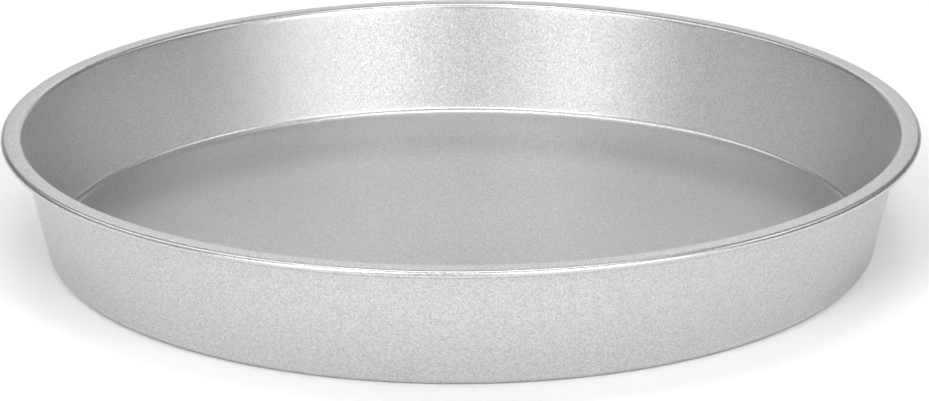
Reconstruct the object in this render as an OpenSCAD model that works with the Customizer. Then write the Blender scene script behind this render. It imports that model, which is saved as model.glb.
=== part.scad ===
// Round tart tin, pressed from one disc of sheet steel: a flat floor, a plain sloping wall
// and a rim that is turned out and rolled under. It stands on Z = 0 round the Z axis.

/* [Tin] */
// Diameter over the rolled rim
rim_d = 292; // [180:1:360]
// Height from the table to the top of the rim
height = 39.4; // [20:0.2:80]
// Slope of the wall away from upright, in degrees
wall_lean = 11.4; // [0:0.2:25]
// Thickness of the sheet
sheet = 0.6; // [0.4:0.05:0.8]

/* [Base] */
// Radius of the bend from floor to wall, on the inside
corner_r = 2.6; // [1:0.1:10]

/* [Rim] */
// Width of the rim, from the inside of the wall to the outer edge
rim_w = 6.6; // [6:0.1:12]
// Radius of the bend from wall to rim, on its rounded side
lip_r = 1.6; // [1.2:0.1:2.4]
// Radius of the slightly rounded top of the rim
crown_r = 60; // [16:1:120]
// Diameter of the rolled edge
roll_d = 2.4; // [2:0.1:3.2]
// Angle that the rolled edge turns through, measured from straight up
roll_turn = 275; // [180:5:280]

/* [Smoothness] */
// Facets round the tin
tin_fn = 240; // [90:10:360]
// Largest angle between two points on a bend, in degrees
bend_step = 7.5; // [3:0.5:15]

/* [Hidden] */
rim_r = rim_d / 2;
roll_r = roll_d / 2;

// Centres of the four bends in the section, as distance from the axis and height
lip_c = [rim_r - rim_w + lip_r, height - lip_r];
crown_c = [lip_c.x, height - crown_r];
crown_turn = asin((rim_r - roll_r - crown_c.x) / (crown_r - roll_r));
roll_c = crown_c + (crown_r - roll_r) * [sin(crown_turn), cos(crown_turn)];
corner_z = sheet + corner_r;
wall_run = (sin(wall_lean) * (lip_c.y - corner_z) + lip_r + corner_r) / cos(wall_lean);
corner_c = [lip_c.x - wall_run, corner_z];

// Points of a bend, evenly spaced; a bend that carries on from another leaves out its first point
function arc(centre, r, from, turn, first = 0) =
    let (steps = max(4, ceil(abs(turn) / bend_step)))
    [for (i = [first:steps]) let (a = from + turn * i / steps) centre + r * [cos(a), sin(a)]];

// One face of the sheet, from the axis to the end of the roll, at a depth below the upper face
function face(depth) = concat(
    [[0, sheet - depth]],
    arc(corner_c, corner_r + depth, -90, 90 - wall_lean),
    arc(lip_c, lip_r - depth, 180 - wall_lean, wall_lean - 90),
    arc(crown_c, crown_r - depth, 90, -crown_turn, first = 1),
    arc(roll_c, roll_r - depth, 90 - crown_turn, crown_turn - roll_turn, first = 1)
);

function reversed(points) = [for (i = [len(points) - 1:-1:0]) points[i]];

// The tin is one sheet: its upper face and its under face, closed at the end of the roll
module tin() {
    color([0.78, 0.78, 0.77])
        rotate_extrude($fn = tin_fn)
            polygon(concat(face(0), reversed(face(sheet))));
}

tin();
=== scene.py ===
# %% [markdown]
# # A pressed tart tin
# The tin is one disc of sheet steel. A press draws it down over a die, which leaves a flat floor, a
# small round corner and a sloping wall, and a second tool rolls the rim under, so that nobody cuts
# a finger on the raw edge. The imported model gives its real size, and this script gives it its looks.

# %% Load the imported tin
import math

import bpy
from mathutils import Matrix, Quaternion, Vector


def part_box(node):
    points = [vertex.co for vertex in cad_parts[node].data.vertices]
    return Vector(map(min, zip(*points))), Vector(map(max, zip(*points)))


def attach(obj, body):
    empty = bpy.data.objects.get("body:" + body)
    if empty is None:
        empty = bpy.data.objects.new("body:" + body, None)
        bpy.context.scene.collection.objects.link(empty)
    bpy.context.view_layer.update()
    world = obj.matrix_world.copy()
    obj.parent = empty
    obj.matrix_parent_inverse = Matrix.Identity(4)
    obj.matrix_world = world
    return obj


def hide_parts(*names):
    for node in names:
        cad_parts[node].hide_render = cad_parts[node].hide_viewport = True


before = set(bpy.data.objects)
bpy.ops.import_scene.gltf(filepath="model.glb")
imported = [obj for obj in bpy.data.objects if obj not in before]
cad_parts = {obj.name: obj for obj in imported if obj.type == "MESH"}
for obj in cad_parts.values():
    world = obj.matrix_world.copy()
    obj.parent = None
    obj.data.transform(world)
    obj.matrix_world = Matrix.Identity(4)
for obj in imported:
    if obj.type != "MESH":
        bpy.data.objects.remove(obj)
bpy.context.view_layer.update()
tin_low, tin_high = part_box("tin")
print("nodes:", sorted(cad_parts), "size in m:", [round(s, 4) for s in tin_high - tin_low])

# %% [markdown]
# ## The sizes of the sheet
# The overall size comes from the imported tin, so that the two always agree. The bends are too small
# to read off its box: they are named here with the same values as in the part's source.

# %% Sizes, in metres
MM = 0.001
RIM_RADIUS = (tin_high.x - tin_low.x) / 2
HEIGHT = tin_high.z
WALL_LEAN = math.radians(11.4)
SHEET = 0.6 * MM
CORNER_RADIUS = 2.6 * MM
RIM_WIDTH = 6.6 * MM
LIP_RADIUS = 1.6 * MM
CROWN_RADIUS = 60 * MM
ROLL_RADIUS = 1.2 * MM
ROLL_TURN = math.radians(275)

lip_centre = Vector((RIM_RADIUS - RIM_WIDTH + LIP_RADIUS, 0, HEIGHT - LIP_RADIUS))
crown_centre = lip_centre + Vector((0, 0, LIP_RADIUS - CROWN_RADIUS))
crown_turn = math.asin((RIM_RADIUS - ROLL_RADIUS - crown_centre.x) / (CROWN_RADIUS - ROLL_RADIUS))
to_roll = Vector((math.sin(crown_turn), 0, math.cos(crown_turn)))
roll_centre = crown_centre + (CROWN_RADIUS - ROLL_RADIUS) * to_roll
corner_height = SHEET + CORNER_RADIUS
wall_rise = lip_centre.z - corner_height
wall_run = (math.sin(WALL_LEAN) * wall_rise + LIP_RADIUS + CORNER_RADIUS) / math.cos(WALL_LEAN)
corner_centre = Vector((lip_centre.x - wall_run, 0, corner_height))
print("flat floor radius in mm:", round(corner_centre.x / MM, 2))

# %% [markdown]
# ## Drawing the section
# A round pressed thing is drawn once, as half of its section, and then turned. The section could be
# typed in as a list of points, but a maker thinks in straight runs and bends, so one vertex is drawn
# along: it is extruded for a straight run, and spun about the bend's centre for a bend. It follows
# the upper face of the sheet, from the middle of the floor to the end of the rolled edge. The
# tighter a bend is and the further it turns, the more pieces it gets, so that its shine has no steps.

# %% A vertex that draws runs and bends
START_SIZE = 10 * MM


def deselect_everything():
    for other in bpy.context.selected_objects:
        other.select_set(False)


def start_section(name, place):
    """A plane merged to one vertex, which is where the drawing starts."""
    deselect_everything()
    bpy.ops.mesh.primitive_plane_add(size=START_SIZE, location=place)
    drawn = bpy.context.object
    drawn.name = name
    bpy.ops.object.transform_apply(location=True)
    bpy.ops.object.mode_set(mode="EDIT")
    bpy.ops.mesh.merge(type="CENTER")
    return drawn


def run(step, pieces):
    """A straight run from the last vertex, in equal pieces."""
    for _ in range(pieces):
        bpy.ops.mesh.extrude_region_move(TRANSFORM_OT_translate={"value": step / pieces})


def bend(centre, angle, pieces):
    """A bend from the last vertex. A positive angle turns it up and over towards the outside."""
    bpy.ops.mesh.spin(steps=pieces, angle=-angle, center=centre, axis=(0, 1, 0))


# %% Draw the tin's section
FLOOR_PIECES = 24
CORNER_PIECES = 12
WALL_PIECES = 12
LIP_PIECES = 14
CROWN_PIECES = 8
ROLL_PIECES = 26

wall_in = Vector((-math.cos(WALL_LEAN), 0, math.sin(WALL_LEAN)))
wall_foot = corner_centre - CORNER_RADIUS * wall_in
wall_top = lip_centre + LIP_RADIUS * wall_in

tin = start_section("pressed_tin", (0, 0, SHEET))
run(Vector((corner_centre.x, 0, 0)), FLOOR_PIECES)
bend(corner_centre, WALL_LEAN - math.pi / 2, CORNER_PIECES)
run(wall_top - wall_foot, WALL_PIECES)
bend(lip_centre, math.pi / 2 - WALL_LEAN, LIP_PIECES)
bend(crown_centre, crown_turn, CROWN_PIECES)
bend(roll_centre, ROLL_TURN - crown_turn, ROLL_PIECES)
tin.update_from_editmode()
drawn = [v.co for v in tin.data.vertices]
print("section vertices:", len(drawn), "reach in mm:", round(max(p.x for p in drawn) / MM, 2))

# %% [markdown]
# ## Turning it round
# Spin turns the section round the axis, as a spinning lathe would. The first and last rows meet,
# and the floor's centre is repeated, so the doubles are merged. The normals are recalculated
# before the sheet gets its thickness, because that step grows it to one side.

# %% Spin the section and give the sheet its thickness
AROUND = 384
SAME_PLACE = 0.002 * MM
SHARP = math.radians(40)

bpy.ops.mesh.select_all(action="SELECT")
bpy.ops.mesh.spin(steps=AROUND, angle=2 * math.pi, center=(0, 0, 0), axis=(0, 0, 1))
bpy.ops.mesh.select_all(action="SELECT")
bpy.ops.mesh.remove_doubles(threshold=SAME_PLACE)
bpy.ops.mesh.normals_make_consistent(inside=False)
bpy.ops.object.mode_set(mode="OBJECT")
floor_faces = [f for f in tin.data.polygons if f.center.z < SHEET + SAME_PLACE]
if sum(f.normal.z for f in floor_faces) < 0:
    tin.data.flip_normals()

thickness = tin.modifiers.new("sheet", "SOLIDIFY")
thickness.thickness = SHEET
thickness.offset = -1
thickness.use_even_offset = True
bpy.ops.object.modifier_apply(modifier=thickness.name)
bpy.ops.object.shade_smooth_by_angle(angle=SHARP)
heights = [v.co.z for v in tin.data.vertices]
print("tin faces:", len(tin.data.polygons), "height in mm:", round(max(heights) / MM, 3))

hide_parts("tin")
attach(tin, "root")

# %% [markdown]
# ## Shader maths that reads as sums
# A finish is a network of nodes. Wiring it by hand hides the idea, so one small class wraps a
# node's output and turns + - * into Math nodes, and one method makes every other kind of node. A
# finish that changes up a wall or over a rim needs one more thing, a fade between two heights.

# %% A socket that can be added and multiplied
class Socket:
    """Wraps a node's output, so that shader maths reads as ordinary sums."""

    def __init__(self, tree, output):
        self.tree = tree
        self.output = output

    def _math(self, operation, a, b):
        node = self.tree.nodes.new("ShaderNodeMath")
        node.operation = operation
        for slot, value in zip(node.inputs, (a, b)):
            if isinstance(value, Socket):
                self.tree.links.new(value.output, slot)
            else:
                slot.default_value = value
        return Socket(self.tree, node.outputs[0])

    def __add__(self, other):
        return self._math("ADD", self, other)

    def __radd__(self, other):
        return self._math("ADD", other, self)

    def __sub__(self, other):
        return self._math("SUBTRACT", self, other)

    def __rsub__(self, other):
        return self._math("SUBTRACT", other, self)

    def __mul__(self, other):
        return self._math("MULTIPLY", self, other)

    def __rmul__(self, other):
        return self._math("MULTIPLY", other, self)


# %% A finish and its nodes
class Finish:
    """A material and its nodes."""

    def __init__(self, name):
        self.material = bpy.data.materials.new(name)
        self.material.use_nodes = True
        self.tree = self.material.node_tree
        self.tree.nodes.clear()

    def node(self, kind, settings=None, stops=(), out=0, **values):
        """Adds a node: its settings and ramp stops first, then its sockets' values or links."""
        made = self.tree.nodes.new("ShaderNode" + kind)
        for key, value in (settings or {}).items():
            setattr(made, key, value)
        if stops:
            for element, (position, colour) in zip(made.color_ramp.elements, stops):
                element.position = position
                element.color = (*colour, 1)
        for key, value in values.items():
            slot = made.inputs[int(key[3:]) if key.startswith("in_") else key.replace("_", " ")]
            if isinstance(value, Socket):
                self.tree.links.new(value.output, slot)
            else:
                slot.default_value = value
        return Socket(self.tree, made.outputs[out])

    def fade(self, value, start, end, at_start=0, at_end=1):
        """Goes from one number to another while a value goes from start to end."""
        return self.node(
            "MapRange", Value=value, From_Min=start, From_Max=end, To_Min=at_start, To_Max=at_end,
        )

    def show(self, shader):
        """Sends a shader to the material's surface."""
        end = self.tree.nodes.new("ShaderNodeOutputMaterial")
        self.tree.links.new(shader.output, end.inputs["Surface"])


# %% [markdown]
# ## The silver coat
# The tin isn't bare steel: it is sprayed with a silver non-stick coat and baked. The coat carries
# flakes of metal, which lie almost flat, each a little askew and each a little lighter or darker.
# From near they sparkle where the light is strong and die away in the shade, and from far they
# spread every highlight. Grain painted on in grey would look the same in light and shade, and a
# bump from one noise makes waves, not flakes. So the surface is cut into small cells, and the random
# colour of each cell serves twice: its brightness is the flake's tone, and its three numbers, less a
# half, tip the surface's normal to the flake's own slant. Over that lie the coat's fine orange peel
# and slow clouds in its gloss, where the spray was thicker. The rim is glossier and its flakes lie
# flatter, because the rolling tool has pressed the sheet smooth there, so the rim's lines look crisp.
# The tight bend at the foot of the wall is glossier too, and it draws two fine bright lines.

# %% The coat's numbers
FLAKE = 0.24 * MM
SILVER_LOW = (0.45, 0.45, 0.45)
SILVER_HIGH = (0.77, 0.77, 0.77)
LOW_UP_TO = 0.12
HIGH_FROM = 0.88
TILT_WALL = 0.12
TILT_RIM = 0.08
BLUR_WALL = 0.44
BLUR_RIM = 0.3
BLUR_BEND = 0.3
RIM_FROM = HEIGHT - 2.2 * MM
RIM_TO = HEIGHT - 1.4 * MM
BEND_FROM = 0.9 * MM
BEND_TO = 2.4 * MM
BEND_EDGE = 0.2 * MM
PEEL = 0.3 * MM
PEEL_DEPTH = 0.02 * MM
PEEL_BLUR = 0.1
PEEL_DETAIL = 1.5
CLOUDS_PER_METRE = 22
CLOUD_BLUR = 0.06
CLOUD_DETAIL = 2.0
MIDDLE = 0.5
print("flakes across one mm:", round(MM / FLAKE, 1))


# %% The coat
def silver_coat():
    finish = Finish("silver_coat")
    place = finish.node("TexCoord", out="Object")
    flakes = finish.node("TexVoronoi", Vector=place, Scale=1 / FLAKE, out="Color")
    tones = ((LOW_UP_TO, SILVER_LOW), (HIGH_FROM, SILVER_HIGH))
    colour = finish.node("ValToRGB", stops=tones, Fac=flakes)
    height = finish.node("SeparateXYZ", Vector=place, out="Z")

    centred = finish.node("VectorMath", {"operation": "SUBTRACT"}, in_0=flakes, in_1=(MIDDLE,) * 3)
    tilt = finish.fade(height, RIM_FROM, RIM_TO, TILT_WALL, TILT_RIM)
    slant = finish.node("VectorMath", {"operation": "SCALE"}, in_0=centred, Scale=tilt)
    level = finish.node("NewGeometry", out="Normal")
    tipped = finish.node("VectorMath", {"operation": "ADD"}, in_0=level, in_1=slant)
    facing = finish.node("VectorMath", {"operation": "NORMALIZE"}, in_0=tipped)
    peel = finish.node("TexNoise", Vector=place, Scale=1 / PEEL, Detail=PEEL_DETAIL)
    bump = finish.node("Bump", Height=peel, Strength=1.0, Distance=PEEL_DEPTH, Normal=facing)

    clouds = finish.node("TexNoise", Vector=place, Scale=CLOUDS_PER_METRE, Detail=CLOUD_DETAIL)
    blur = finish.fade(height, RIM_FROM, RIM_TO, BLUR_WALL, BLUR_RIM)
    above = finish.fade(height, BEND_FROM - BEND_EDGE, BEND_FROM + BEND_EDGE)
    below = finish.fade(height, BEND_TO + BEND_EDGE, BEND_TO - BEND_EDGE)
    blur = blur - above * below * (BLUR_WALL - BLUR_BEND)
    blur = blur + (peel - MIDDLE) * PEEL_BLUR + (clouds - MIDDLE) * CLOUD_BLUR
    shader = finish.node(
        "BsdfPrincipled", {"distribution": "GGX"}, Base_Color=colour, Metallic=1.0,
        Roughness=blur, Normal=bump,
    )
    finish.show(shader)
    return finish.material


tin.data.materials.clear()
tin.data.materials.append(silver_coat())
print("coat nodes:", len(tin.data.materials[0].node_tree.nodes))

# %% [markdown]
# ## The table
# The tin stands on white paper that runs on behind it, so no edge or corner of a room shows. Paper
# spreads light evenly whatever its angle, so it is a plain diffuse surface. It is kept very light:
# it fills the tin's outer wall from below, because a sloping metal wall mostly mirrors the table. It
# lies a hair below the tin, because two faces in one plane would fight for the same pixels.

# %% Table
TABLE_SIZE = 6
TABLE_GAP = 0.05 * MM
PAPER_WHITE = 0.95

deselect_everything()
bpy.ops.mesh.primitive_plane_add(size=TABLE_SIZE, location=(0, 0, -TABLE_GAP))
table = bpy.context.object
table.name = "table"
paper = Finish("white_paper")
paper.show(paper.node("BsdfDiffuse", Color=(PAPER_WHITE, PAPER_WHITE, PAPER_WHITE, 1)))
table.data.materials.append(paper.material)
print("table side in m:", TABLE_SIZE)

# %% [markdown]
# ## Light for a silver surface
# Metal has no colour of its own to show: each part of it shows whatever stands in the direction that
# it mirrors. So the lights are chosen by what they draw on the tin. The inner wall at the back faces
# the camera, and the boxes at the front, low and high, draw its two bright patches, one on each side
# of the middle, with a darker gap between them. The boxes at the sides draw the ends of the wall.
# The floor and the flat of the rim lie level, so they mirror what is low behind the tin. The rolled
# edge turns through every angle and mirrors everything from overhead down to the far paper, as a
# thin line, so that paper gets a light of its own, which faces away from the tin. Two weaker ones
# do the same for the paper at its sides. All boxes are large for their distance, so the coat's blur
# leaves soft edges and no hard shadow.

# %% A soft light
LIGHTS_AWAY = 1.3


def softbox(name, azimuth, elevation, size, power, aim=(0, 0, 0)):
    """A soft light aimed at the tin, or at another spot. Azimuth 0 is behind it, 90 on its right."""
    turn, rise = math.radians(azimuth), math.radians(elevation)
    level = math.cos(rise)
    away = Vector((math.sin(turn) * level, math.cos(turn) * level, math.sin(rise)))
    deselect_everything()
    bpy.ops.object.light_add(type="AREA", location=Vector(aim) + LIGHTS_AWAY * away)
    light = bpy.context.object
    light.name = name
    light.rotation_euler = away.to_track_quat("Z", "Y").to_euler()
    light.data.shape = "RECTANGLE"
    light.data.size, light.data.size_y = size
    light.data.energy = power


# %% The lights round the tin
FRONT_BOX = (0.4, 0.28)
SIDE_BOX = (0.5, 0.35)
CORNER_BOX = (0.6, 0.35)
BACK_STRIP = (0.9, 0.24)
EDGE_STRIP = (1.6, 0.24)
TOP_BOX = (0.7, 0.4)

softbox("front_right", 155, 14, FRONT_BOX, 2.15)
softbox("front_right_side", 132, 14, FRONT_BOX, 1.7)
softbox("front_left", -145, 14, FRONT_BOX, 1.85)
softbox("front_left_side", -132, 14, FRONT_BOX, 1.1)
softbox("high_right", 168, 34, FRONT_BOX, 2.2)
softbox("high_right_side", 144, 34, FRONT_BOX, 2.4)
softbox("high_left", -155, 34, FRONT_BOX, 4.1)
softbox("side_right", 95, 40, SIDE_BOX, 1.5)
softbox("side_left", -95, 40, SIDE_BOX, 0.8)
softbox("side_left_low", -95, 8, SIDE_BOX, 0.4)
softbox("side_left_high", -95, 58, SIDE_BOX, 1.4)
softbox("back_corner_right", 65, 38, CORNER_BOX, 0.6)
softbox("back_corner_left", -65, 38, CORNER_BOX, 1.1)
softbox("back_edge", 0, 6, EDGE_STRIP, 1.15)
softbox("back_low", 0, 20, BACK_STRIP, 0.55)
softbox("back_high", 0, 33, BACK_STRIP, 1.05)
softbox("overhead", 0, 90, TOP_BOX, 4.1)

# %% The lights on the paper, and the room's glow
FAR_PAPER_BOX = (1.5, 0.5)
SIDE_PAPER_BOX = (0.8, 0.4)
ROOM_GLOW = 0.19

softbox("far_paper", 180, 40, FAR_PAPER_BOX, 10, aim=(0, 1.8, 0))
softbox("paper_right", -90, 40, SIDE_PAPER_BOX, 1.3, aim=(1.3, 0, 0))
softbox("paper_left", 90, 40, SIDE_PAPER_BOX, 1.0, aim=(-1.3, 0, 0))

world = bpy.data.worlds.new("studio")
world.use_nodes = True
room = world.node_tree.nodes["Background"]
room.inputs["Color"].default_value = (1, 1, 1, 1)
room.inputs["Strength"].default_value = ROOM_GLOW
bpy.context.scene.world = world
boxes = [o.data.energy for o in bpy.context.scene.objects if o.type == "LIGHT"]
print("soft lights:", len(boxes), "watts in all:", round(sum(boxes), 1))

# %% [markdown]
# ## The camera
# The rim looks like an ellipse, and how flat it looks gives the camera's height: here it looks down
# at a little over 18 degrees. The tin's far and near halves differ in size, which gives the distance:
# about a metre. A long lens at that distance frames the tin from edge to edge, as in the photograph.
# Measuring the outline of rim, base and floor fixes the last millimetre of aim and a slight roll.

# %% Camera
CAMERA_FAR = 0.9805
CAMERA_ELEVATION = math.radians(18.12)
CAMERA_ROLL = -0.0042
AIM = Vector((0.00103, 0, 0.01085))
LENS_PIXELS = 3043
IMAGE_WIDTH = 929
SENSOR_WIDTH = 36

deselect_everything()
bpy.ops.object.camera_add()
camera = bpy.context.object
camera.name = "camera"
towards = Vector((0, -math.cos(CAMERA_ELEVATION), math.sin(CAMERA_ELEVATION)))
camera.location = Vector((0, 0, HEIGHT / 2)) + CAMERA_FAR * towards
look = (AIM - camera.location).to_track_quat("-Z", "Y")
camera.rotation_euler = (look @ Quaternion((0, 0, 1), CAMERA_ROLL)).to_euler()
camera.data.sensor_width = SENSOR_WIDTH
camera.data.lens = SENSOR_WIDTH * LENS_PIXELS / IMAGE_WIDTH
bpy.context.scene.camera = camera
bpy.context.scene.view_settings.view_transform = "Standard"
print("lens in mm:", round(camera.data.lens, 1), "distance in m:", round(camera.location.length, 3))
